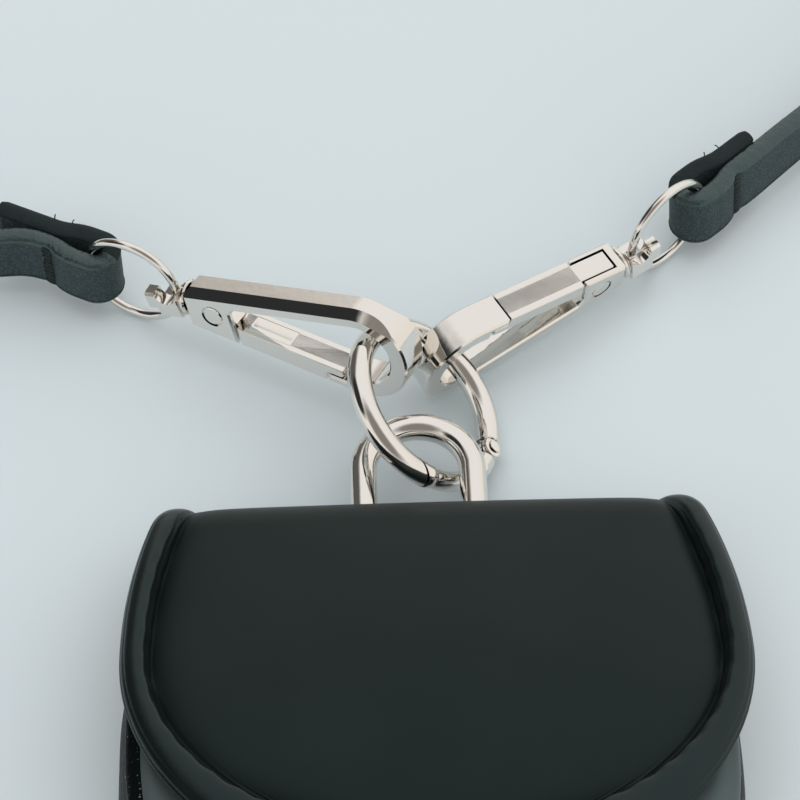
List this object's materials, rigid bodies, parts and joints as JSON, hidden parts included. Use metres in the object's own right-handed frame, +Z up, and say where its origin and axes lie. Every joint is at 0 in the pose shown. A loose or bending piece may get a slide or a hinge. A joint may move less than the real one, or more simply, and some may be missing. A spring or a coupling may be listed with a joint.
{
  "type": "mini bag",
  "caption": "Small flap bag lying on its back, with a metal arch, a spring-gate ring, swivel clasps and a leather neck strap.",
  "frame": {"origin": "on the floor, in the middle of the bag's flat back", "axes": "+X to the bag's right, +Y from its bottom to its top edge with the arch and the strap, +Z up through its front"},
  "size_m": [0.3022, 0.3619, 0.0258],
  "materials": {
    "black_leather": "smooth black calf leather with a soft sheen and a rolled, stitched rim",
    "strap_leather": "pebbled grey-black leather with smooth painted edges",
    "nickel": "mirror-polished nickel plate"
  },
  "bodies": {
    "bag": {"back_panel": "black_leather", "gusset": "black_leather", "front_panel": "black_leather", "flap": "black_leather", "flap_binding": "black_leather", "arch_ring": "nickel", "spring_ring": "nickel", "spring_ring_pin": "nickel", "left_swivel_eye": "nickel", "left_strap_ring": "nickel", "right_swivel_eye": "nickel", "right_strap_ring": "nickel", "strap": "strap_leather"},
    "ring_gate": {"spring_ring_gate": "nickel"},
    "left_clasp": {"left_hook": "nickel", "left_gate_pin": "nickel"},
    "left_lever": {"left_gate": "nickel"},
    "right_clasp": {"right_hook": "nickel", "right_gate_pin": "nickel"},
    "right_lever": {"right_gate": "nickel"}
  },
  "joints": [
    {"name": "ring_gate_hinge", "type": "hinge", "parent": "bag", "child": "ring_gate", "pos_m": [0.01077, 0.05732, 0.00269], "axis": [-0.6492, 0.0454, -0.7593], "range_deg": [0, 15], "stiffness_Nm_per_rad": 0.02, "springref_deg": -22.92},
    {"name": "left_swivel", "type": "hinge", "parent": "bag", "child": "left_clasp", "pos_m": [-0.03296, 0.08285, 0.00995], "axis": [0.8379, -0.4381, 0.3256], "range_deg": [-14, 4]},
    {"name": "left_gate_hinge", "type": "hinge", "parent": "left_clasp", "child": "left_lever", "pos_m": [-0.02888, 0.08058, 0.01051], "axis": [-0.495, -0.8612, 0.1152], "range_deg": [0, 20], "stiffness_Nm_per_rad": 0.02, "springref_deg": -22.92},
    {"name": "right_swivel", "type": "hinge", "parent": "bag", "child": "right_clasp", "pos_m": [0.03225, 0.089, 0.0077], "axis": [-0.84, -0.5331, -0.1011], "range_deg": [-14, 1]},
    {"name": "right_gate_hinge", "type": "hinge", "parent": "right_clasp", "child": "right_lever", "pos_m": [0.02841, 0.08632, 0.00821], "axis": [0.5419, -0.8146, -0.2068], "range_deg": [0, 20], "stiffness_Nm_per_rad": 0.02, "springref_deg": -22.92}
  ]
}
